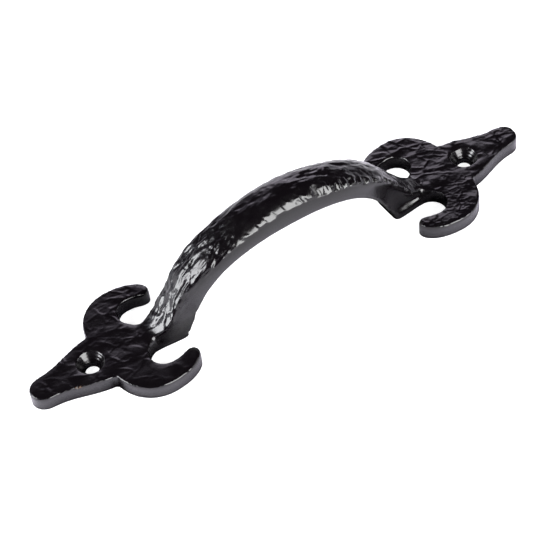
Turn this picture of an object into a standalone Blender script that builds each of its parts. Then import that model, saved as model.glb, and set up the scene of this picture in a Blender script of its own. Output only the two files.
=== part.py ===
"""Fleur-de-lis cabinet handle: one iron casting with a hammered face.

Two flat fleur-de-lis plates lie on the door, one at each end, and an arched grip of D section
springs from the stem of each. X runs along the handle, Y across it and Z out from the door.
The origin is under the middle of the grip, on the plane of the plates' backs.
"""
import math

import bmesh
import bpy
from mathutils import Vector, noise

MM = 0.001

# Lengths along X for one end, counted outwards from the middle of the grip
GRIP_OPENING = 65.0 * MM        # clear distance between the two heels, at the door
HEEL_TO_GAP = 9.3 * MM          # heel's inner edge to the centre of the curl's round gap
GAP_TO_CROWN = 3.1 * MM         # gap centre to the widest place of the curl
CROWN_TO_NOTCH = 10.8 * MM      # widest place to the notch between curl and pointed tip
NOTCH_TO_HOLE = 3.1 * MM        # notch to the screw hole's centre
NOTCH_TO_TIP = 20.3 * MM        # notch to the far end of the plate
CURL_REACH = 7.4 * MM           # gap centre back to the blunt end of the curl

# Widths across Y
SPREAD = 36.1 * MM              # over the backs of the two curls
NOTCH_WIDTH = 15.5 * MM         # between the two notches
STEM_WIDTH = 8.3 * MM           # stem beside the round gap
HEEL_WIDTH = 9.5 * MM           # stem at the heel
CURL_END_WIDTH = 4.6 * MM       # curl at its blunt end
CURL_DROOP = 0.7 * MM           # middle of the blunt end, outwards of the gap's top

# Radii in the outline
TIP_RADIUS = 3.75 * MM          # round end of the plate
GAP_RADIUS = 4.0 * MM           # round end of the gap between stem and curl
CURL_END_RADIUS = 1.8 * MM      # corners of the blunt end
HEEL_CORNER_RADIUS = 1.0 * MM

# Thicknesses
PLATE_THICKNESS = 4.4 * MM
EDGE_ROUNDING = 0.6 * MM        # top edge of the plates
FLANGE_THICKNESS = 2.1 * MM     # lip of the stem at the foot of the grip
FLANGE_LEDGE = 0.5 * MM         # width of that lip

# Countersunk screw hole
HOLE_DIAMETER = 3.8 * MM
COUNTERSINK_DIAMETER = 7.9 * MM
HOLE_LAND = 1.5 * MM            # straight part of the hole, below the cone

# Grip
GRIP_CLEARANCE = 20.9 * MM      # door to the underside, in the middle
GRIP_THICKNESS = 8.9 * MM       # underside to crown, in the middle
GRIP_WIDTH = 12.2 * MM          # in the middle
FOOT_WIDTH = 8.9 * MM           # where the grip comes down to the stem
DOME_HEIGHT = 4.0 * MM          # hammered dome above the plain flanks, in the middle
FOOT_DOME_HEIGHT = 1.9 * MM     # the same at the foot
END_DOME_HEIGHT = 0.6 * MM      # the same where the grip runs out into the plate
UNDERSIDE_ROUNDING = 0.9 * MM   # lower edges of the grip
FOOT_WAIST = 1.1 * MM           # hollow of the flank above the lip

# Side view of the grip: where the crown's knee lies and how long the curves' handles are
KNEE_INSET = 0.2 * MM           # knee, inside the heel
KNEE_DROP = 14.3 * MM           # crown's fall from the middle to the knee
KNEE_SLOPE = math.radians(54)
HEEL_SLOPE = math.radians(60)   # rise of the underside at the heel
ARCH_HANDLE = 12.6 * MM
KNEE_HANDLE_ABOVE = 6.6 * MM
KNEE_HANDLE_BELOW = 7.9 * MM
RUN_OUT_HANDLE = 6.5 * MM
UNDERSIDE_HANDLE = 25.6 * MM
HEEL_HANDLE = 10.0 * MM
GRIP_PAST_GAP = 0.8 * MM        # grip's buried end, past the round gap
SINK = 0.3 * MM                 # how deep that end lies under the plate's face

# Hammered relief, cut inwards from the faces above
HAMMER_DEPTH = 0.35 * MM
HAMMER_PITCH = 3.2 * MM         # distance from one dent to the next

# Fineness of the facets
OUTLINE_STEP = 0.9 * MM
FACE_GRID = 1.7 * MM            # squares of the hammered plate faces
ARCH_STEP = 1.5 * MM            # sections along the grip's arch
FOOT_STEP = 0.9 * MM            # sections along its feet
DOME_STEPS = 5
FLANK_STEPS = 5
FLANK_CROWDING = 1.4            # more than 1 crowds the flank's points towards its lower edge
HOLE_SIDES = 32
WELD = 0.01 * MM

HEEL_X = GRIP_OPENING / 2
GAP_X = HEEL_X + HEEL_TO_GAP
CROWN_X = GAP_X + GAP_TO_CROWN
NOTCH_X = CROWN_X + CROWN_TO_NOTCH
HOLE_X = NOTCH_X + NOTCH_TO_HOLE
TIP_X = NOTCH_X + NOTCH_TO_TIP
GAP_Y = STEM_WIDTH / 2 + GAP_RADIUS
CROWN_Z = GRIP_CLEARANCE + GRIP_THICKNESS
GRIP_END_X = GAP_X + GAP_RADIUS + GRIP_PAST_GAP
BURIED_Z = FLANGE_THICKNESS / 2


def bezier_point(ends, share):
    """Point of a cubic curve given by its four control points."""
    first, second, third, fourth = (Vector(point) for point in ends)
    left = 1 - share
    return (first * left ** 3 + second * 3 * share * left ** 2
            + third * 3 * share ** 2 * left + fourth * share ** 3)


def bezier_points(*ends):
    """Points along a cubic curve, without its last, about one outline step apart."""
    chord = (Vector(ends[3]) - Vector(ends[0])).length
    count = max(3, round(1.1 * chord / OUTLINE_STEP))
    return [bezier_point(ends, number / count) for number in range(count)]


def arc_points(centre, radius, start, end):
    """Points along an arc between two angles in radians, without its last."""
    count = max(3, round(abs(end - start) * radius / OUTLINE_STEP))
    angles = (start + (end - start) * number / count for number in range(count))
    return [Vector((centre[0] + radius * math.cos(angle), centre[1] + radius * math.sin(angle)))
            for angle in angles]


def smooth_step(value, low, high):
    """Ease from 0 at low to 1 at high."""
    share = min(max((value - low) / (high - low), 0), 1)
    return share * share * (3 - 2 * share)


def stem_half_width(x):
    """Half the width of the stem, from the heel out to the gap."""
    share = smooth_step(x, HEEL_X + HEEL_CORNER_RADIUS, GAP_X)
    return (HEEL_WIDTH + (STEM_WIDTH - HEEL_WIDTH) * share) / 2


def pointed_tip():
    """Round end of the plate and the swelling shoulder from it to the notch."""
    centre_x = TIP_X - TIP_RADIUS
    run = centre_x - NOTCH_X
    rise = NOTCH_WIDTH / 2 - TIP_RADIUS
    shoulder = bezier_points((centre_x, TIP_RADIUS),
                             (centre_x - 0.40 * run, TIP_RADIUS + 0.08 * rise),
                             (NOTCH_X + 0.38 * run, NOTCH_WIDTH / 2 - 0.12 * rise),
                             (NOTCH_X, NOTCH_WIDTH / 2))
    return arc_points((centre_x, 0), TIP_RADIUS, 0, math.pi / 2) + shoulder


def curl():
    """Curl from the notch over its crown to the blunt end and back into the round gap."""
    crown_y = SPREAD / 2
    gap_top_y = GAP_Y + GAP_RADIUS
    end_x = GAP_X - CURL_REACH
    end_y = gap_top_y + CURL_DROOP
    outer = (end_x + CURL_END_RADIUS, end_y + 0.62 * CURL_END_WIDTH)
    inner = (end_x + CURL_END_RADIUS, end_y - 0.38 * CURL_END_WIDTH)
    rise = crown_y - NOTCH_WIDTH / 2
    back = CROWN_X - outer[0]
    fall = crown_y - outer[1]
    neck = GAP_X - inner[0]
    corner = 0.6 * CURL_END_RADIUS

    points = bezier_points((NOTCH_X, NOTCH_WIDTH / 2),
                           (NOTCH_X - 0.05 * CROWN_TO_NOTCH, NOTCH_WIDTH / 2 + 0.55 * rise),
                           (CROWN_X + 0.55 * CROWN_TO_NOTCH, crown_y), (CROWN_X, crown_y))
    points += bezier_points((CROWN_X, crown_y), (CROWN_X - 0.45 * back, crown_y),
                            (outer[0] + 0.22 * back, outer[1] + 0.62 * fall), outer)
    points += bezier_points(outer, (outer[0] - corner, outer[1] - 0.75 * corner),
                            (end_x, end_y + corner), (end_x, end_y))
    points += bezier_points((end_x, end_y), (end_x, end_y - corner),
                            (inner[0] - corner, inner[1]), inner)
    points += bezier_points(inner, (inner[0] + 0.33 * neck, inner[1]),
                            (GAP_X - 0.58 * neck, gap_top_y), (GAP_X - 0.11 * neck, gap_top_y))
    gap_end = math.radians(-78)
    return points + arc_points((GAP_X, GAP_Y), GAP_RADIUS, math.radians(90), gap_end)


def stem():
    """Stem from the gap to the rounded corner of the heel."""
    start = GAP_X + GAP_RADIUS * math.cos(math.radians(-78))
    end = HEEL_X + HEEL_CORNER_RADIUS
    count = round((start - end) / OUTLINE_STEP)
    places = (start + (end - start) * number / count for number in range(count))
    points = [Vector((x, stem_half_width(x))) for x in places]
    corner_y = stem_half_width(end) - HEEL_CORNER_RADIUS
    points += arc_points((end, corner_y), HEEL_CORNER_RADIUS, math.pi / 2, math.pi)
    return points + [Vector((HEEL_X, corner_y))]


def hammer_dent(place):
    """Depth of the hammered relief at a place on the casting."""
    coarse = noise.noise(place / HAMMER_PITCH)
    fine = noise.noise(2 * place / HAMMER_PITCH + Vector((7.3, 1.9, 4.1)))
    return HAMMER_DEPTH * min(max(0.5 + 0.6 * coarse + 0.25 * fine, 0), 1)


def flange_share(x, y):
    """0 on the plate and its curls, 1 on the stem, where the lip beside the grip is thin."""
    if abs(y) > GAP_Y:
        return 0
    return 1 - smooth_step(x, GAP_X - 0.15 * GAP_RADIUS, GAP_X + 0.45 * GAP_RADIUS)


def cut_to_grid(mesh, top):
    """Cut the plate's top face into squares, so that it can be dented.

    No cut lies on the middle line, where the crown of the grip runs.
    """
    faces = [top]
    for normal, reach in ((Vector((1, 0, 0)), TIP_X), (Vector((0, 1, 0)), SPREAD / 2)):
        last = math.floor(reach / FACE_GRID)
        for number in range(-last, last + 1):
            edges = {edge for face in faces for edge in face.edges}
            verts = {vert for face in faces for vert in face.verts}
            bmesh.ops.bisect_plane(mesh, geom=[*faces, *edges, *verts], dist=2 * WELD,
                                   plane_co=normal * FACE_GRID * (number + 0.5), plane_no=normal)
            faces = [face for face in mesh.faces if face.normal.z > 0.999
                     and face.calc_center_median().z > PLATE_THICKNESS - WELD]


def plate_mesh(side):
    """One fleur-de-lis plate at +X (side 1) or -X (side -1), with its hammered face."""
    upper = pointed_tip() + curl() + stem()
    lower = [Vector((point.x, -point.y)) for point in reversed(upper[1:])]
    mesh = bmesh.new()
    base = mesh.faces.new([mesh.verts.new((point.x, point.y, 0)) for point in upper + lower])
    lifted = bmesh.ops.extrude_face_region(mesh, geom=[base], use_keep_orig=True)
    top = next(item for item in lifted["geom"] if isinstance(item, bmesh.types.BMFace))
    wall = PLATE_THICKNESS - EDGE_ROUNDING
    bmesh.ops.translate(mesh, vec=(0, 0, wall), verts=top.verts)
    for share_in, share_up in ((0.3, 0.7), (0.7, 0.3)):
        bmesh.ops.inset_region(mesh, faces=[top], thickness=share_in * EDGE_ROUNDING,
                               depth=share_up * EDGE_ROUNDING, use_even_offset=True)
    cut_to_grid(mesh, top)
    thinning = 1 - FLANGE_THICKNESS / PLATE_THICKNESS
    for vert in mesh.verts:
        vert.co.z *= 1 - thinning * flange_share(vert.co.x, vert.co.y)
    bmesh.ops.scale(mesh, vec=(side, 1, 1), verts=mesh.verts)
    for vert in mesh.verts:
        if vert.co.z > wall + 0.8 * EDGE_ROUNDING:
            vert.co.z -= hammer_dent(vert.co)
    bmesh.ops.triangulate(mesh, faces=[face for face in mesh.faces if face is not base])
    bmesh.ops.recalc_face_normals(mesh, faces=mesh.faces)
    return mesh


def rail_height(rail, x):
    """Height of a rail, a chain of cubic curves in X and Z, at one X."""
    ends = next(curve for curve in rail if x <= curve[3][0] or curve is rail[-1])
    low, high = 0.0, 1.0
    for _ in range(30):
        share = (low + high) / 2
        if bezier_point(ends, share)[0] < x:
            low = share
        else:
            high = share
    return bezier_point(ends, low)[1]


def crown_rail():
    """Top of the grip: a flat arch, a knee and a run-out into the plate."""
    knee = Vector((HEEL_X - KNEE_INSET, CROWN_Z - KNEE_DROP))
    fall = Vector((math.cos(KNEE_SLOPE), -math.sin(KNEE_SLOPE)))
    end = Vector((GRIP_END_X, PLATE_THICKNESS - SINK))
    landing = end - Vector((RUN_OUT_HANDLE, -SINK))
    arch = ((0, CROWN_Z), (ARCH_HANDLE, CROWN_Z), knee - fall * KNEE_HANDLE_ABOVE, knee)
    return arch, (knee, knee + fall * KNEE_HANDLE_BELOW, landing, end)


def underside_rail():
    """Underside of the grip, from the middle down to the heel, where it enters the lip."""
    heel = Vector((HEEL_X - SINK / 3, BURIED_Z))
    rise = Vector((-math.cos(HEEL_SLOPE), math.sin(HEEL_SLOPE)))
    return (((0, GRIP_CLEARANCE), (UNDERSIDE_HANDLE, GRIP_CLEARANCE),
             heel + rise * HEEL_HANDLE, heel),)


def grip_half_widths(x):
    """Half widths of the grip at one X: at its underside and at its shoulder."""
    swell = max(1 - (x / HEEL_X) ** 5, 0) ** 1.3
    width = (FOOT_WIDTH + (GRIP_WIDTH - FOOT_WIDTH) * swell) / 2
    on_stem = stem_half_width(x) - FLANGE_LEDGE
    near_heel = smooth_step(x, HEEL_X - HEEL_CORNER_RADIUS, HEEL_X + HEEL_CORNER_RADIUS)
    near_gap = smooth_step(x, HEEL_X + 0.2 * HEEL_TO_GAP, GAP_X)
    return width + (on_stem - width) * near_heel, width + (on_stem - width) * near_gap


def grip_section(x, crown, underside):
    """Half of the grip's D section at one X, for +Y, from underside to crown."""
    away = abs(x)
    top = rail_height(crown, away)
    heel_x = underside[0][3][0]
    bottom = rail_height(underside, away) if away < heel_x else BURIED_Z
    base, width = grip_half_widths(away)
    run_out = smooth_step(away, HEEL_X + 0.4 * HEEL_TO_GAP, GRIP_END_X)
    to_foot = smooth_step(away, 0.15 * HEEL_X, 0.8 * HEEL_X)
    dome = DOME_HEIGHT + (FOOT_DOME_HEIGHT - DOME_HEIGHT) * to_foot
    dome += (END_DOME_HEIGHT - dome) * run_out
    shoulder = top - dome
    at_foot = smooth_step(away, HEEL_X - 0.4 * HEEL_TO_GAP, HEEL_X + 0.3 * HEEL_TO_GAP)
    waist = FOOT_WAIST * at_foot * (1 - run_out)
    edge = UNDERSIDE_ROUNDING
    flank = bottom + edge
    half = [(0, bottom), (base - edge, bottom), (base - 0.3 * edge, bottom + 0.3 * edge),
            (base, flank)]
    for number in range(1, FLANK_STEPS):
        share = (number / FLANK_STEPS) ** FLANK_CROWDING
        hollow = waist * math.sin(math.pi * number / FLANK_STEPS)
        half.append((base + (width - base) * share - hollow, flank + (shoulder - flank) * share))
    for number in range(DOME_STEPS):
        angle = math.pi / 2 * number / DOME_STEPS
        half.append((width * math.cos(angle), shoulder + dome * math.sin(angle)))
    half.append((0, top))
    return [Vector((x, y, z)) for y, z in half]


def grip_stations():
    """Places along X of the grip's sections: wide apart on the arch, close at the feet."""
    places = [0.0]
    while places[-1] < GRIP_END_X - FOOT_STEP:
        step = ARCH_STEP if places[-1] < 0.72 * HEEL_X else FOOT_STEP
        places.append(places[-1] + step)
    places[-1] = GRIP_END_X
    return [-x for x in reversed(places[1:])] + places


def grip_mesh():
    """The arched grip, lofted through its sections, with both ends buried in the plates."""
    crown = crown_rail()
    underside = underside_rail()
    mesh = bmesh.new()
    rings = []
    for x in grip_stations():
        half = grip_section(x, crown, underside)
        other = [Vector((point.x, -point.y, point.z)) for point in reversed(half[1:-1])]
        verts = [mesh.verts.new(point) for point in half + other]
        rings.append([mesh.edges.new(pair) for pair in zip(verts, verts[1:] + verts[:1])])
    for ring, following in zip(rings, rings[1:]):
        bmesh.ops.bridge_loops(mesh, edges=ring + following)
    bmesh.ops.holes_fill(mesh, edges=rings[0] + rings[-1])
    bmesh.ops.recalc_face_normals(mesh, faces=mesh.faces)
    mesh.normal_update()
    dents = []
    for vert in mesh.verts:
        upward = min(max(2.1 * vert.normal.z - 0.5, 0), 1)
        dents.append(vert.normal * hammer_dent(vert.co) * upward)
    for vert, dent in zip(mesh.verts, dents):
        vert.co -= dent
    bmesh.ops.triangulate(mesh, faces=mesh.faces)
    return mesh


def hole_cutter_mesh(side):
    """Cutter for one screw hole: a straight hole under a cone that opens to the front."""
    hole = HOLE_DIAMETER / 2
    slope = (COUNTERSINK_DIAMETER / 2 - hole) / (PLATE_THICKNESS - HOLE_LAND)
    mouth = COUNTERSINK_DIAMETER / 2 + slope * HOLE_LAND
    profile = ((hole, -HOLE_LAND), (hole, HOLE_LAND), (mouth, PLATE_THICKNESS + HOLE_LAND))
    mesh = bmesh.new()
    verts = [mesh.verts.new((radius, 0, z)) for radius, z in profile]
    edges = [mesh.edges.new(pair) for pair in zip(verts, verts[1:])]
    bmesh.ops.spin(mesh, geom=verts + edges, cent=(0, 0, 0), axis=(0, 0, 1),
                   angle=math.tau, steps=HOLE_SIDES, use_merge=True)
    bmesh.ops.holes_fill(mesh, edges=mesh.edges)
    bmesh.ops.translate(mesh, vec=(side * HOLE_X, 0, 0), verts=mesh.verts)
    bmesh.ops.recalc_face_normals(mesh, faces=mesh.faces)
    return mesh


def add_object(name, mesh):
    """Put a finished bmesh into the scene under a name."""
    data = bpy.data.meshes.new(name)
    mesh.to_mesh(data)
    mesh.free()
    thing = bpy.data.objects.new(name, data)
    bpy.context.scene.collection.objects.link(thing)
    return thing


def add_boolean(thing, tool, operation):
    """Join or cut a piece with a hidden tool body."""
    tool.hide_render = True
    tool.display_type = "WIRE"
    modifier = thing.modifiers.new(tool.name, "BOOLEAN")
    modifier.operation = operation
    modifier.solver = "EXACT"
    modifier.object = tool


def black_coated_iron():
    """Cast iron under a semi-gloss black coating."""
    material = bpy.data.materials.new("black_coated_iron")
    material.use_nodes = True
    shader = material.node_tree.nodes["Principled BSDF"]
    shader.inputs["Base Color"].default_value = (0.006, 0.006, 0.007, 1)
    shader.inputs["Metallic"].default_value = 0.0
    shader.inputs["Roughness"].default_value = 0.28
    return material


def main():
    """Build the handle: the grip, joined to its two plates, with a screw hole through each."""
    for thing in list(bpy.data.objects):
        bpy.data.objects.remove(thing, do_unlink=True)
    handle = add_object("handle", grip_mesh())
    ends = ((1, "right"), (-1, "left"))
    for side, word in ends:
        add_boolean(handle, add_object(f"plate_{word}", plate_mesh(side)), "UNION")
    for side, word in ends:
        cutter = add_object(f"hole_cutter_{word}", hole_cutter_mesh(side))
        add_boolean(handle, cutter, "DIFFERENCE")
    handle.data.materials.append(black_coated_iron())
    handle.data.shade_smooth()
    handle.data.set_sharp_from_angle(angle=math.radians(40))


main()
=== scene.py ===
"""Looks of the fleur-de-lis cabinet handle: one iron casting under a semi-gloss black coating.

The casting keeps the form of its CAD solid. The facets are blended into one fine skin, and the
hammer marks on the grip and plates, the tool rings in the countersinks and a chipped edge are
modelled in that skin. The handle lies along X with its back on the floor, and -Y is its near side.
"""

import math

import bmesh
import bpy
from mathutils import Matrix, Vector, noise


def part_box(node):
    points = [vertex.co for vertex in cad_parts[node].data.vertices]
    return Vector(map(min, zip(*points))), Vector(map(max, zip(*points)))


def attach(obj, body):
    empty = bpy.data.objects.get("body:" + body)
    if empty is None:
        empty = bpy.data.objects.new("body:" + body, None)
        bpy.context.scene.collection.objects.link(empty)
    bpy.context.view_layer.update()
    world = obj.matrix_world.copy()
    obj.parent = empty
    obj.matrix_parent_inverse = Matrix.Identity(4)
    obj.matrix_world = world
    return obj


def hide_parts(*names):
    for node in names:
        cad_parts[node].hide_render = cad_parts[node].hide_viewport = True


MM = 0.001

# Skin of the casting
SKIN_CELL = 0.45 * MM           # side of the skin's squares; the hammered faces get half of it
WELD = 0.001 * MM
OVER_DEPTH = 2.0 * MM           # cast below the back, then ground off flat
EDGE_PASSES = 2                 # smoothing that rounds the edges of the plates
GRIP_PASSES = 18                # further smoothing that rounds the grip above its lower edges
GRIP_FROM = 5.4 * MM
FACE_PASSES = 12                # smoothing that levels the plates' faces inside their edges
FACE_FROM = 3.0 * MM
COVE_PASSES = 18                # smoothing that blends the grip's flank into its lip
FINE_PASSES = 2                 # smoothing that evens out the halved squares

# Limits for how far a surface looks up, from -1 for straight down to 1 for straight up
UNDERSIDE = -0.15               # the grip's underside looks further down
FLAT_FACE = 0.93                # the plates' faces look further up
HALVED_FACE = 0.12              # squares that look further up are halved
MARKED_FACE = 0.1               # hammer marks are only on what looks further up
PLATE_MARKS = (0.4, 0.9)        # the marks on a plate grow to full depth in between
GRIP_MARKS = (0.1, 0.35)        # and the marks on the grip in between these
PLAIN_FLANK = 0.20              # both limits are this much higher right of the left leg

# Line along which the flank meets the lip, at each foot of the grip
COVE_START = 32.5 * MM
COVE_END = 42.5 * MM
COVE_Y = 4.0 * MM
COVE_Z = 2.8 * MM
COVE_REACH = 2.7 * MM
COVE_CLOSING = 0.4              # share of its reach that the smoothing loses by its last pass
MARKS_CLEAR = 1.5               # the hammer marks have full depth this many reaches away
LIP_EDGE = 4.75 * MM            # the lip's own edge, further out, stays crisp

# Near flank of the left foot, which runs straight down to the lip's edge
FOOT_START = 29.5 * MM
FOOT_END = 41.5 * MM
FOOT_LOW = 0.8 * MM
FOOT_HIGH = 11.0 * MM
FOOT_EDGE = 4.75 * MM           # half width at the floor
FOOT_CORE = 2.0 * MM            # half width of the middle, which stays as it is
FOOT_TAPER = 0.03               # lean of the flank
FOOT_SIDE = 0.2                 # what looks further to the far side than this stays
FOOT_PASSES = 6
START_FADE = 1.0 * MM           # lengths over which the filling runs out
END_FADE = 3.0 * MM
TOP_FADE = 4.0 * MM
CORE_FADE = 1.0 * MM

# Patterns of the hammer marks, with their sizes in pitches
PATTERN_SEED = 4                # fixes how the hammer marks wander
WARP = 0.45                     # how far the patterns wander
DENT_WANDER = (0.6, 1.7, 0.4)   # coarse and fine bends to a pitch, and the fine bends' share
SMALL_DENTS = 2.3               # small dents to a pitch
SMALL_DENT_SHARE = 0.3
RIDGE_CUT = 0.45                # ridges between dents are worn flat above this height
CREASE_WANDER = (0.8, 2.5, 0.35)
CREASE_WIDTH = 0.3
FAINTEST = 0.25                 # height of a crease where it nearly runs out
FADES = 0.7                     # faint stretches to a pitch
FADE_RANGE = (-0.4, 0.1)

# Where in the noise each layer of marks starts, far enough apart to look unrelated
SMALL_DENT_LAYER = Vector((5.1, 3.7, 7.9))
FINE_CREASE_LAYER = Vector((3.1, 8.3, 0.7))
SWELL_LAYER = Vector((0.4, 5.2, 2.6))
CROWN_LAYER = Vector((3.3, 8.1, 1.7))
LEG_FOLD_LAYER = Vector((7.7, 2.2, 5.3))
FINE_LEG_LAYER = Vector((1.3, 4.1, 6.7))

# Hammer marks on the plates: thin ridges that wander round flat cells
CREASE_PITCH = 3.6 * MM
CREASE_RISE = 0.18 * MM
CREASE_LIMIT = 1.2              # crossing ridges rise no higher, in rises
CREASE_GRAIN = Vector((0.88, -0.47, 0))     # the cells are longest this way
CREASE_LENGTH = 1.6             # length of a cell, in widths
FINE_CREASES = 2.3              # fine ridges to one pitch
FINE_SHARE = 0.25
FINE_CURL = (4.0 * MM, 9.0 * MM)            # they take over on the right plate's near curl
FINE_GAIN = 0.4
LARGE_LOSS = 0.6
SWELL_PITCH = 3.0 * MM
SWELL_RISE = 0.20 * MM
LEFT_SHARE = 0.6                # the left plate's marks are fainter
LEFT_CURL = (6.0 * MM, 10.0 * MM)           # and fainter still on its near curl
LEFT_CURL_LOSS = 0.5
STEM_END = (37.0 * MM, 43.0 * MM)           # between grip and plate the marks change over
STEM_SIDE = (6.0 * MM, 7.5 * MM)            # further out there is only plate

# Hammer marks on the grip: dents that meet in ridges, over soft waves
GRIP_ROUND = 29.0 * MM          # radius at which lengths along the grip are true
TOOTH_PITCH = 3.4 * MM          # dents across the grip, along its shoulders
TOOTH_STRETCH = 1.6
TOOTH_DEPTH = 0.52 * MM
FAR_TOOTH_DEPTH = 0.20 * MM
TOOTH_LEAN = 0.6                # how far a tooth leans to the left as it rises
TOOTH_SIDES = (0.15, 0.55)      # teeth are only where the surface looks this far sideways
TOOTH_START = 0.6               # share of their depth that the teeth have on the left
TOOTH_GROWTH = 0.5              # share that they gain along the stretch below
GROWTH_STRETCH = (-2.0 * MM, 8.0 * MM)
RIGHT_KNEE = 15.0 * MM
CROWDING = 0.5                  # how much closer the teeth stand beyond the right knee
RIPPLE_PITCH = 2.6 * MM         # dents along the grip, on its crown
RIPPLE_DEPTH = 0.26 * MM
RIPPLE_STRETCH = 2.2            # length of a ripple, in widths
WAVE_RISE = 0.34 * MM
WAVES = 1.2                     # waves to a ripple
FINE_WAVES = 2.9
FINE_WAVE_SHARE = 0.35

# Hammer marks on the left leg: long dents with folds among them
LEG_TOP = (12.0 * MM, 19.0 * MM)            # the crown's marks give way to the leg's
LEG_FLANK = (-26.0 * MM, -14.0 * MM)        # the plain flank narrows towards the leg
LEG_PITCH = 2.6 * MM
LEG_DEPTH = 0.40 * MM
LEG_STRETCH = 2.8
LEG_WAVES = 1.6                 # waves to a dent
LEG_WAVE_SHARE = 0.6
LEG_FOLD = 0.10 * MM
LEG_FOLDS = 1.2                 # folds to a dent
FINE_LEG_DENTS = 2.6            # fine dents to a dent
FINE_LEG_SHARE = 0.12

# Chip in the near edge of the left tip
CHIP = Vector((-65.5, -5.3, 4.1)) * MM
CHIP_REACH = 1.8 * MM           # along the edge
CHIP_LENGTH = 2.4               # length of the chip, in widths
CHIP_DEPTH = 0.45 * MM
CHIP_GRAIN = 0.5 * MM
CHIP_RIM = 0.5                  # share of the chip over which it runs out
CRUMBS = (0.52, 0.6)            # noise between which the coating gives way to iron

# Countersunk screw holes
HOLE_X = 58.8 * MM
HOLE_RADIUS = 1.9 * MM
SINK_RADIUS = 3.95 * MM
HOLE_LAND = 1.5 * MM            # height of the straight hole under the cone
PLATE_TOP = 4.4 * MM
SINK_RIM = 0.55 * MM            # the rounded rim stays as it is
SINK_SEARCH = 1.15              # the cone's skin lies within this many radii of its axis
SINK_SLACK = 0.6 * MM           # and this close to the true cone
RING_PITCH = 0.72 * MM          # steps that the countersinking tool left
RING_DEPTH = 0.05 * MM
RING_FROM = (1.7 * MM, 2.1 * MM)
RING_SIDE = 1.0 * MM            # half width over which the steps fade out to the left

# Black coating
COATING = "#070507"
BARE_IRON = "#6e5a4c"
COATING_IOR = 1.55
GLOSS_PATCH = 4.0 * MM          # the gloss drifts over patches of this size
GLOSS_DRIFT = (0.3, 0.7)
SMOOTHEST = 0.14
ROUGHEST = 0.27
PEEL_PITCH = 0.55 * MM          # orange peel of a sprayed coating
PEEL_DEPTH = 0.03 * MM
PEEL_SHARE = 0.25

# Floor and wall
FLOOR_RADIUS = 2.0
FLOOR_SIDES = 96
WALL_HEIGHT = 0.42
# Painted glow that only gloss sees on the floor, in this tint
GLOW_TINT = "#f0e9ff"
GLOW_START = 5 * MM             # painted glow: to gloss the floor is brightest close beside the handle
GLOW_END = 30 * MM
PLATE_REACH = 12 * MM           # how much further out the plates reach than the grip
PLATE_FROM = 30 * MM            # along the handle, the outline widens between these
PLATE_FULL = 42 * MM
SHADE = 0.8                     # between the curls a painted shadow of the grip takes this share of the glow
SHADE_START = 20 * MM
SHADE_FULL = 27 * MM
SHADE_THIN = 44 * MM
SHADE_END = 50 * MM
SHADE_INNER = 9 * MM            # half width of the full shade
SHADE_HALF = 14 * MM            # half width to where it has run out
# Painted shade that gloss sees on the floor in narrow places, in this dark tone
SHADE_TONE = "#141314"
NARROW_REACH = 40 * MM          # how far round it a place is tested for being narrow
NARROW_FACING = Vector((0, -0.8, 0.6))      # light comes in mostly from the near side
NARROW = 0.50                   # open share at which the painted shade is full
OPEN = 0.80                     # open share at which it is fully lit

# Room round the lights
ROOM_TINT = "#ffe8ff"
ROOM_LIGHT = 0.04

# Camera, found from the outline of the handle in the photograph
IMAGE_SIDE = 540
FOCAL_PIXELS = 1709.7
SENSOR_WIDTH = 36               # in millimetres, as Blender counts it
CAMERA_AZIMUTH = -27.83
CAMERA_ELEVATION = 48.22
CAMERA_ROLL = -7.34
CAMERA_DISTANCE = 439.2 * MM
CAMERA_TARGET = Vector((-7.5, -4.95, 8.0)) * MM
CAMERA_NEAR = 0.01
CAMERA_FAR = 20


def linear(code):
    """Linear RGBA of an sRGB colour written as a hex code."""
    values = [int(code[place:place + 2], 16) / 255 for place in (1, 3, 5)]
    return tuple(v / 12.92 if v <= 0.04045 else ((v + 0.055) / 1.055) ** 2.4
                 for v in values) + (1.0,)


def add_node(tree, kind, settings=None, **links):
    """Add one node with its settings, and link or set its inputs.

    An input goes by its name, or by i and its number where several share a name.
    """
    node = tree.nodes.new(kind)
    for name, value in (settings or {}).items():
        setattr(node, name, value)
    for name, value in links.items():
        key = int(name[1:]) if name[1:].isdigit() else name.replace("_", " ")
        if isinstance(value, bpy.types.NodeSocket):
            tree.links.new(value, node.inputs[key])
        else:
            node.inputs[key].default_value = value
    return node


def new_material(name):
    """Empty node material and its node tree."""
    material = bpy.data.materials.new(name)
    material.use_nodes = True
    material.node_tree.nodes.clear()
    return material, material.node_tree


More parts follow.
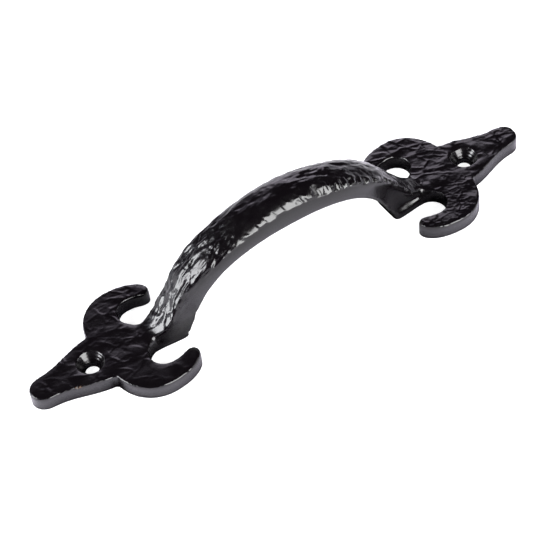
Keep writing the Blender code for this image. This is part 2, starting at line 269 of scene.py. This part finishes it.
def black_coating():
    """Semi-gloss black coating, sprayed and baked on hammered cast iron.

    The eye gets crisp highlights on a nearly black ground. The gloss drifts from patch to patch,
    orange peel breaks the highlights' edges, and brown iron shows in crumbs where it is chipped.
    """
    material, tree = new_material("black_coating_on_cast_iron")
    place = add_node(tree, "ShaderNodeTexCoord").outputs["Object"]

    cloud = add_node(tree, "ShaderNodeTexNoise", {"noise_dimensions": "3D"}, Vector=place,
                     Scale=1 / GLOSS_PATCH, Detail=3.0, Roughness=0.55)
    rough = add_node(tree, "ShaderNodeMapRange", Value=cloud.outputs["Fac"],
                     From_Min=GLOSS_DRIFT[0], From_Max=GLOSS_DRIFT[1],
                     To_Min=SMOOTHEST, To_Max=ROUGHEST)

    peel = add_node(tree, "ShaderNodeTexNoise", {"noise_dimensions": "3D"}, Vector=place,
                    Scale=1 / PEEL_PITCH, Detail=2.0, Roughness=0.5)
    bump = add_node(tree, "ShaderNodeBump", Height=peel.outputs["Fac"],
                    Strength=PEEL_SHARE, Distance=PEEL_DEPTH)

    away = add_node(tree, "ShaderNodeVectorMath", {"operation": "SUBTRACT"}, i0=place, i1=CHIP)
    away = add_node(tree, "ShaderNodeVectorMath", {"operation": "MULTIPLY"},
                    i0=away.outputs["Vector"], i1=(1.0, CHIP_LENGTH, CHIP_LENGTH))
    away = add_node(tree, "ShaderNodeVectorMath", {"operation": "LENGTH"},
                    i0=away.outputs["Vector"])
    close = add_node(tree, "ShaderNodeMapRange", Value=away.outputs["Value"],
                     From_Min=CHIP_RIM * CHIP_REACH, From_Max=CHIP_REACH, To_Min=1.0, To_Max=0.0)
    crumbs = add_node(tree, "ShaderNodeTexNoise", {"noise_dimensions": "3D"}, Vector=place,
                      Scale=1 / CHIP_GRAIN, Detail=2.0)
    crumbs = add_node(tree, "ShaderNodeMapRange", Value=crumbs.outputs["Fac"],
                      From_Min=CRUMBS[0], From_Max=CRUMBS[1])
    bare = add_node(tree, "ShaderNodeMath", {"operation": "MULTIPLY"},
                    i0=close.outputs["Result"], i1=crumbs.outputs["Result"])
    colour = add_node(tree, "ShaderNodeMix", {"data_type": "RGBA"}, i0=bare.outputs[0],
                      i6=linear(COATING), i7=linear(BARE_IRON))

    shader = add_node(tree, "ShaderNodeBsdfPrincipled", Base_Color=colour.outputs["Result"],
                      Roughness=rough.outputs["Result"], Normal=bump.outputs["Normal"],
                      IOR=COATING_IOR)
    add_node(tree, "ShaderNodeOutputMaterial", Surface=shader.outputs["BSDF"])
    return material


def smooth_step(value, low, high):
    """Ease from 0 at low to 1 at high."""
    share = min(max((value - low) / (high - low), 0), 1)
    return share * share * (3 - 2 * share)


def add_object(name, mesh):
    """Put a bmesh into the scene under a name."""
    data = bpy.data.meshes.new(name)
    mesh.to_mesh(data)
    mesh.free()
    thing = bpy.data.objects.new(name, data)
    bpy.context.scene.collection.objects.link(thing)
    return thing


def smooth(mesh, verts, passes):
    """Smooth some of the skin's vertices a number of times."""
    for _ in range(passes):
        bmesh.ops.smooth_vert(mesh, verts=verts, factor=0.5, use_axis_x=True,
                              use_axis_y=True, use_axis_z=True)


def blended_skin(node):
    """Copy of the CAD casting as one fine, even skin with its facets blended."""
    mesh = bmesh.new()
    mesh.from_mesh(node.data)
    bmesh.ops.remove_doubles(mesh, verts=mesh.verts, dist=WELD)
    back = [vert for vert in mesh.verts if vert.co.z < WELD]
    bmesh.ops.translate(mesh, vec=(0, 0, -OVER_DEPTH), verts=back)
    casting = add_object("casting", mesh)
    remesh = casting.modifiers.new("skin", "REMESH")
    remesh.mode = "VOXEL"
    remesh.voxel_size = SKIN_CELL
    graph = bpy.context.evaluated_depsgraph_get()
    skin = bpy.data.meshes.new_from_object(casting.evaluated_get(graph))
    casting.modifiers.clear()
    mesh = bmesh.new()
    mesh.from_mesh(skin)
    smooth(mesh, mesh.verts, EDGE_PASSES)
    mesh.normal_update()
    grip = [vert for vert in mesh.verts
            if vert.co.z > GRIP_FROM and vert.normal.z > UNDERSIDE]
    smooth(mesh, grip, GRIP_PASSES)
    return casting, mesh


def cove_distance(place):
    """Distance from the line along which the grip's flank meets its lip."""
    beyond = max(COVE_START - abs(place.x), abs(place.x) - COVE_END, 0)
    return Vector((beyond, abs(place.y) - COVE_Y, place.z - COVE_Z)).length


def blend_feet(mesh):
    """Blend the grip's flanks into the lips at its feet in soft coves."""
    near = [vert for vert in mesh.verts if cove_distance(vert.co) < COVE_REACH
            and (abs(vert.co.y) < LIP_EDGE or vert.co.z > COVE_Z)]
    for number in range(COVE_PASSES):
        reach = COVE_REACH * (1 - COVE_CLOSING * number / COVE_PASSES)
        smooth(mesh, [vert for vert in near if cove_distance(vert.co) < reach], 1)


def fill_left_cove(mesh):
    """Fill the near cove of the left foot out to the lip's edge."""
    near = [vert for vert in mesh.verts if -FOOT_END < vert.co.x < -FOOT_START
            and -FOOT_EDGE < vert.co.y < -FOOT_CORE and FOOT_LOW < vert.co.z < FOOT_HIGH
            and vert.normal.y < FOOT_SIDE]
    for vert in near:
        share = smooth_step(-vert.co.x, FOOT_START, FOOT_START + START_FADE)
        share *= 1 - smooth_step(-vert.co.x, FOOT_END - END_FADE, FOOT_END)
        share *= 1 - smooth_step(vert.co.z, FOOT_HIGH - TOP_FADE, FOOT_HIGH)
        share *= smooth_step(-vert.co.y, FOOT_CORE, FOOT_CORE + CORE_FADE)
        flank = FOOT_TAPER * vert.co.z - FOOT_EDGE
        vert.co.y += share * min(flank - vert.co.y, 0)
    smooth(mesh, near, FOOT_PASSES)


def level_plates(mesh):
    """Level the plates' faces, and leave their edges as they are."""
    mesh.normal_update()
    faces = [vert for vert in mesh.verts
             if vert.normal.z > FLAT_FACE and FACE_FROM < vert.co.z < GRIP_FROM
             and abs(vert.co.x) > COVE_END]
    smooth(mesh, faces, FACE_PASSES)


def refine_hammered_faces(mesh):
    """Halve the squares of the faces that look upwards, for the hammer marks."""
    mesh.normal_update()
    edges = {edge for face in mesh.faces if face.normal.z > HALVED_FACE for edge in face.edges}
    bmesh.ops.subdivide_edges(mesh, edges=list(edges), cuts=1, use_grid_fill=True)
    mesh.normal_update()
    smooth(mesh, [vert for vert in mesh.verts if vert.normal.z > MARKED_FACE], FINE_PASSES)


def wander(place, coarse, fine, fine_share):
    """Shift a place in a pattern by noise of two sizes, so that the cells come out uneven."""
    return (place + noise.noise_vector(coarse * place) * WARP
            + noise.noise_vector(fine * place) * fine_share * WARP)


def dents(place):
    """Height in a hammered pattern: 0 at the bottom of a dent, up to 1 on its ridge.

    Counted in pitches, with small dents among the large ones.
    """
    spot = wander(place, *DENT_WANDER)
    large = noise.voronoi(spot)[0][0] ** 2
    small = noise.voronoi(SMALL_DENTS * spot + SMALL_DENT_LAYER)[0][0] ** 2
    return min((large + SMALL_DENT_SHARE * small) / RIDGE_CUT, 1.0)


def creases(place):
    """Height in a pattern of thin ridges that wander round flat cells, counted in pitches."""
    nearest = noise.voronoi(wander(place, *CREASE_WANDER))[0]
    strength = smooth_step(noise.noise(FADES * place), *FADE_RANGE)
    ridge = 1 - smooth_step(nearest[1] - nearest[0], 0, CREASE_WIDTH)
    return (FAINTEST + (1 - FAINTEST) * strength) * ridge


def plate_relief(place):
    """Rise of the hammered face of a plate: thin ridges, finer ridges and a soft swell."""
    along = place.dot(CREASE_GRAIN)
    across = place - CREASE_GRAIN * along
    spot = (across + CREASE_GRAIN * along / CREASE_LENGTH) / CREASE_PITCH
    if place.x > 0:
        fine = smooth_step(-place.y, *FINE_CURL)
        worn = 1
    else:
        fine = 0
        worn = LEFT_SHARE * (1 - LEFT_CURL_LOSS * smooth_step(-place.y, *LEFT_CURL))
    ridge = (1 - LARGE_LOSS * fine) * creases(spot)
    ridge += (FINE_SHARE + FINE_GAIN * fine) * creases(FINE_CREASES * spot + FINE_CREASE_LAYER)
    swell = noise.noise(spot * CREASE_PITCH / SWELL_PITCH + SWELL_LAYER)
    return worn * (CREASE_RISE * min(ridge, CREASE_LIMIT) + SWELL_RISE * swell)


def shoulder_relief(place, along, out):
    """Rise of the teeth across a shoulder of the grip."""
    crowded = along + CROWDING * max(along - RIGHT_KNEE, 0) + TOOTH_LEAN * out
    spot = Vector((crowded, place.y / TOOTH_STRETCH, out / TOOTH_STRETCH)) / TOOTH_PITCH
    grown = TOOTH_START + TOOTH_GROWTH * smooth_step(place.x, *GROWTH_STRETCH)
    return grown * (dents(spot) - 0.5)


def crown_relief(place, along, out):
    """Rise of the soft waves and ripples along the crown of the grip."""
    spot = Vector((along / RIPPLE_STRETCH, place.y, out)) / RIPPLE_PITCH
    waves = noise.noise(WAVES * spot) + FINE_WAVE_SHARE * noise.noise(FINE_WAVES * spot)
    return RIPPLE_DEPTH * (dents(spot + CROWN_LAYER) - 0.5) + WAVE_RISE * waves


def leg_relief(place, along, out):
    """Rise of the long dents on the left leg, with folds and fine dents among them."""
    spot = Vector((along / LEG_STRETCH, place.y, out)) / LEG_PITCH
    large = dents(spot) - 0.5 + LEG_WAVE_SHARE * noise.noise(LEG_WAVES * spot)
    fine = dents(FINE_LEG_DENTS * spot + FINE_LEG_LAYER) - 0.5
    fold = creases(LEG_FOLDS * spot + LEG_FOLD_LAYER)
    return LEG_DEPTH * (large + FINE_LEG_SHARE * fine) - LEG_FOLD * fold


def grip_relief(place, normal):
    """Rise of the hammered face of the grip."""
    along = GRIP_ROUND * math.atan2(place.x, place.z)
    out = place.xz.length
    on_leg = smooth_step(-place.x, *LEG_TOP)
    teeth = smooth_step(abs(normal.y), *TOOTH_SIDES) * (1 - on_leg)
    depth = TOOTH_DEPTH if normal.y < 0 else FAR_TOOTH_DEPTH
    rise = teeth * depth * shoulder_relief(place, along, out)
    rise += on_leg * leg_relief(place, along, out)
    rise += (1 - teeth) * (1 - on_leg) * crown_relief(place, along, out)
    return rise


def hammer(mesh):
    """Raise and dent the faces that look upwards as hammer marks."""
    mesh.normal_update()
    moves = []
    for vert in mesh.verts:
        if vert.normal.z < MARKED_FACE:
            continue
        on_plate = max(smooth_step(abs(vert.co.x), *STEM_END),
                       smooth_step(abs(vert.co.y), *STEM_SIDE))
        rise = 0
        if on_plate > 0:
            share = on_plate * smooth_step(vert.normal.z, *PLATE_MARKS)
            rise += share * plate_relief(vert.co)
        if on_plate < 1:
            plain = PLAIN_FLANK * smooth_step(vert.co.x, *LEG_FLANK)
            share = 1 - on_plate
            share *= smooth_step(vert.normal.z, GRIP_MARKS[0] + plain, GRIP_MARKS[1] + plain)
            share *= smooth_step(cove_distance(vert.co), COVE_REACH,
                                 MARKS_CLEAR * COVE_REACH)
            rise += share * grip_relief(vert.co, vert.normal)
        moves.append((vert, vert.normal * rise))
    for vert, move in moves:
        vert.co += move


def chip_edge(mesh):
    """Break the near edge of the left tip, where the coating has come off in crumbs."""
    for vert in mesh.verts:
        away = vert.co - CHIP
        away.yz *= CHIP_LENGTH
        near = 1 - away.length / CHIP_REACH
        if near > 0:
            crumb = max(noise.noise(vert.co / CHIP_GRAIN), 0)
            vert.co -= vert.normal * CHIP_DEPTH * crumb * smooth_step(near, 0, CHIP_RIM)


def ring_countersinks(mesh):
    """Turn the countersinks true and leave the tool's ring steps in their cones."""
    slope = (SINK_RADIUS - HOLE_RADIUS) / (PLATE_TOP - HOLE_LAND)
    for side in (1, -1):
        centre = Vector((side * HOLE_X, 0))
        for vert in mesh.verts:
            out = vert.co.xy - centre
            radius = out.length
            if vert.co.z > PLATE_TOP - SINK_RIM or radius > SINK_SEARCH * SINK_RADIUS:
                continue
            cone = HOLE_RADIUS + slope * max(vert.co.z - HOLE_LAND, 0)
            if abs(radius - cone) > SINK_SLACK:
                continue
            turn = (vert.co.z - HOLE_LAND) / RING_PITCH
            step = RING_DEPTH * (0.5 + 0.5 * math.sin(math.tau * turn))
            step *= smooth_step(vert.co.z, *RING_FROM)
            step *= smooth_step(out.x, -RING_SIDE, RING_SIDE)
            vert.co.xy = centre + out.normalized() * (cone - step)


def grind_back(mesh):
    """Cut the casting off level with its back and close it with flat faces."""
    everything = [*mesh.verts, *mesh.edges, *mesh.faces]
    bmesh.ops.bisect_plane(mesh, geom=everything, dist=WELD, plane_co=(0, 0, 0),
                           plane_no=(0, 0, 1), clear_inner=True)
    rim = [edge for edge in mesh.edges if edge.is_boundary]
    filled = bmesh.ops.triangle_fill(mesh, edges=rim, use_beauty=True, normal=(0, 0, -1))
    for edge in rim:
        edge.smooth = False
    return [item for item in filled["geom"] if isinstance(item, bmesh.types.BMFace)]


def clamp_to_box(mesh, low, high):
    """Keep the skin inside the CAD box."""
    for vert in mesh.verts:
        for axis in range(3):
            vert.co[axis] = min(max(vert.co[axis], low[axis]), high[axis])


def add_casting(frame):
    """The finished casting, in place of its plain CAD solid."""
    noise.seed_set(PATTERN_SEED)
    casting, mesh = blended_skin(frame["nodes"]["handle"])
    blend_feet(mesh)
    fill_left_cove(mesh)
    level_plates(mesh)
    refine_hammered_faces(mesh)
    hammer(mesh)
    chip_edge(mesh)
    ring_countersinks(mesh)
    back = grind_back(mesh)
    clamp_to_box(mesh, *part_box("handle"))
    for face in mesh.faces:
        face.smooth = True
    for face in back:
        face.smooth = False
    mesh.to_mesh(casting.data)
    mesh.free()
    casting.data.materials.append(black_coating())
    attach(casting, "root")
    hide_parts("handle")


def board_with_painted_glow_and_shade(name, colour, to_camera, to_gloss, to_gloss_away):
    """Matt white board that the camera and glass see as evenly white; gloss sees painted light.

    The eye gets a plain white ground. To gloss only, the board carries a painted glow that is
    brightest close beside the handle and dimmer further away, a painted shadow of the grip
    between the curls, and painted shade in narrow places.
    """
    material, tree = new_material(name)
    path = add_node(tree, "ShaderNodeLightPath")
    ease = {"interpolation_type": "SMOOTHSTEP"}
    place = add_node(tree, "ShaderNodeTexCoord").outputs["Object"]
    place = add_node(tree, "ShaderNodeVectorMath", {"operation": "ABSOLUTE"}, i0=place)
    place = add_node(tree, "ShaderNodeSeparateXYZ", Vector=place.outputs["Vector"])
    along = place.outputs["X"]
    beside = place.outputs["Y"]

    # Painted glow, seen only in gloss, that fades with the distance from the handle's outline
    plate = add_node(tree, "ShaderNodeMapRange", ease, Value=along, From_Min=PLATE_FROM,
                     From_Max=PLATE_FULL, To_Min=0.0, To_Max=PLATE_REACH)
    off = add_node(tree, "ShaderNodeMath", {"operation": "SUBTRACT"}, i0=beside,
                   i1=plate.outputs["Result"])
    fading = add_node(tree, "ShaderNodeMapRange", ease, Value=off.outputs[0],
                      From_Min=GLOW_START, From_Max=GLOW_END,
                      To_Min=to_gloss, To_Max=to_gloss_away)

    # Painted shadow of the grip between the curls
    foot = add_node(tree, "ShaderNodeMapRange", ease, Value=along, From_Min=SHADE_START,
                    From_Max=SHADE_FULL, To_Min=0.0, To_Max=SHADE)
    past = add_node(tree, "ShaderNodeMapRange", ease, Value=along, From_Min=SHADE_THIN,
                    From_Max=SHADE_END, To_Min=1.0, To_Max=0.0)
    among = add_node(tree, "ShaderNodeMapRange", ease, Value=beside, From_Min=SHADE_INNER,
                     From_Max=SHADE_HALF, To_Min=1.0, To_Max=0.0)
    shaded = add_node(tree, "ShaderNodeMath", {"operation": "MULTIPLY"},
                      i0=foot.outputs["Result"], i1=past.outputs["Result"])
    shaded = add_node(tree, "ShaderNodeMath", {"operation": "MULTIPLY"}, i0=shaded.outputs[0],
                      i1=among.outputs["Result"])
    unshaded = add_node(tree, "ShaderNodeMath", {"operation": "SUBTRACT"}, i0=1.0,
                        i1=shaded.outputs[0])
    glow = add_node(tree, "ShaderNodeMath", {"operation": "MULTIPLY"},
                    i0=fading.outputs["Result"], i1=unshaded.outputs[0])
    glow = add_node(tree, "ShaderNodeMath", {"operation": "MULTIPLY"},
                    i0=path.outputs["Is Glossy Ray"], i1=glow.outputs[0])

    # White to the camera and through glass, on a board that takes the handle's shadow
    seen = add_node(tree, "ShaderNodeMath", {"operation": "MAXIMUM"},
                    i0=path.outputs["Is Camera Ray"], i1=path.outputs["Is Transmission Ray"])
    seen = add_node(tree, "ShaderNodeMath", {"operation": "MULTIPLY"}, i0=seen.outputs[0],
                    i1=to_camera)
    board = add_node(tree, "ShaderNodeBsdfDiffuse", Color=linear(colour))
    white = add_node(tree, "ShaderNodeEmission", Strength=seen.outputs[0])
    sheen = add_node(tree, "ShaderNodeEmission", Color=linear(GLOW_TINT),
                     Strength=glow.outputs[0])
    both = add_node(tree, "ShaderNodeAddShader", i0=white.outputs[0], i1=sheen.outputs[0])
    both = add_node(tree, "ShaderNodeAddShader", i0=board.outputs[0], i1=both.outputs[0])

    # Painted shade, seen only in gloss, where the place is narrow
    air = add_node(tree, "ShaderNodeAmbientOcclusion", {"samples": 4}, Distance=NARROW_REACH,
                   Normal=NARROW_FACING)
    closed = add_node(tree, "ShaderNodeMapRange", ease, Value=air.outputs["AO"],
                      From_Min=NARROW, From_Max=OPEN, To_Min=1.0, To_Max=0.0)
    dim = add_node(tree, "ShaderNodeMath", {"operation": "MULTIPLY"},
                   i0=path.outputs["Is Glossy Ray"], i1=closed.outputs["Result"])
    shade = add_node(tree, "ShaderNodeBsdfDiffuse", Color=linear(SHADE_TONE))
    mixed = add_node(tree, "ShaderNodeMixShader", i0=dim.outputs[0], i1=both.outputs[0],
                     i2=shade.outputs[0])
    add_node(tree, "ShaderNodeOutputMaterial", Surface=mixed.outputs[0])
    return material


def add_floor():
    """Pale floor and a low pale wall round it."""
    mesh = bmesh.new()
    bmesh.ops.create_circle(mesh, cap_ends=True, segments=FLOOR_SIDES, radius=FLOOR_RADIUS)
    rim = [edge for edge in mesh.edges if edge.is_boundary]
    lifted = bmesh.ops.extrude_edge_only(mesh, edges=rim)
    tops = [item for item in lifted["geom"] if isinstance(item, bmesh.types.BMVert)]
    bmesh.ops.translate(mesh, vec=(0, 0, WALL_HEIGHT), verts=tops)
    for face in mesh.faces:
        face.material_index = 0 if len(face.verts) == FLOOR_SIDES else 1
    board = board_with_painted_glow_and_shade("pale_board_with_painted_glow_and_shade", "#e6e6e6", to_camera=0.9, to_gloss=1.2,
                             to_gloss_away=0.3)
    paper = board_with_painted_glow_and_shade("pale_backdrop_paper", "#d9d9d9", to_camera=1.0, to_gloss=0.3,
                             to_gloss_away=0.3)
    floor = add_object("floor", mesh)
    floor.data.materials.append(board)
    floor.data.materials.append(paper)


def sky_point(azimuth, elevation, distance):
    """Point at an azimuth (0 is -Y, 90 is +X) and elevation, both in degrees, from the origin."""
    a = math.radians(azimuth)
    e = math.radians(elevation)
    return Vector((math.sin(a) * math.cos(e), -math.cos(a) * math.cos(e), math.sin(e))) * distance


def add_softbox(name, colour, azimuth, elevation, width, height, radiance, distance=0.9):
    """Soft box that faces the handle; width and height are the angles it fills, in degrees."""
    light = bpy.data.lights.new(name, "AREA")
    light.color = linear(colour)[:3]
    light.shape = "RECTANGLE"
    light.size = 2 * distance * math.tan(math.radians(width / 2))
    light.size_y = 2 * distance * math.tan(math.radians(height / 2))
    light.energy = radiance * math.pi * light.size * light.size_y
    box = bpy.data.objects.new(name, light)
    box.location = sky_point(azimuth, elevation, distance)
    box.rotation_mode = "QUATERNION"
    box.rotation_quaternion = box.location.to_track_quat("Z", "Y")
    bpy.context.scene.collection.objects.link(box)


def add_lights():
    """Soft lights low round the handle, whose mirror images are its highlights."""
    add_softbox("left_softbox", "#fcfdff", azimuth=-107, elevation=26, width=26, height=40,
                radiance=13)
    add_softbox("left_diffuser", "#dbe2f0", azimuth=-110, elevation=26, width=54, height=44,
                radiance=0.9, distance=1.0)
    add_softbox("front_softbox", "#ffffff", azimuth=14, elevation=20, width=40, height=44,
                radiance=11)
    add_softbox("right_softbox", "#ffffff", azimuth=66, elevation=24, width=16, height=18,
                radiance=4)
    add_softbox("far_softbox", "#f8f0ff", azimuth=151, elevation=20, width=30, height=38,
                radiance=1.4)
    add_softbox("far_diffuser", "#f2e8ff", azimuth=162, elevation=30, width=50, height=36,
                radiance=0.3, distance=1.0)


def add_world():
    """Dim studio round the lights."""
    world = bpy.data.worlds.new("dim_studio")
    world.use_nodes = True
    shade = world.node_tree.nodes["Background"]
    shade.inputs["Color"].default_value = linear(ROOM_TINT)
    shade.inputs["Strength"].default_value = ROOM_LIGHT
    bpy.context.scene.world = world


def add_camera():
    """Camera at the photograph's place and view angle."""
    camera = bpy.data.cameras.new("camera")
    camera.sensor_width = SENSOR_WIDTH
    camera.lens = FOCAL_PIXELS * SENSOR_WIDTH / IMAGE_SIDE
    camera.clip_start = CAMERA_NEAR
    camera.clip_end = CAMERA_FAR
    back = sky_point(CAMERA_AZIMUTH, CAMERA_ELEVATION, 1)
    right = Vector((0, 0, 1)).cross(back).normalized()
    up = back.cross(right)
    upright = Matrix((right, up, back)).transposed()
    turned = upright @ Matrix.Rotation(math.radians(CAMERA_ROLL), 3, "Z")
    stand = Matrix.Translation(CAMERA_TARGET + back * CAMERA_DISTANCE)
    thing = bpy.data.objects.new("camera", camera)
    thing.matrix_world = stand @ turned.to_4x4()
    bpy.context.scene.collection.objects.link(thing)
    bpy.context.scene.camera = thing


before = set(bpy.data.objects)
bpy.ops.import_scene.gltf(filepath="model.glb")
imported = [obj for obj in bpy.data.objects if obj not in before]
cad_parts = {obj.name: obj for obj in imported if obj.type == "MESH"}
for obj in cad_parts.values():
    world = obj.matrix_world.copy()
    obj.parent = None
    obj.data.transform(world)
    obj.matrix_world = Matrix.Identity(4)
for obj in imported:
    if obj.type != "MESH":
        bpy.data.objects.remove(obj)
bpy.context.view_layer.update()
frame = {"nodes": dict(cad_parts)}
add_casting(frame)
add_floor()
add_lights()
add_world()
add_camera()
bpy.context.scene.view_settings.view_transform = "Standard"
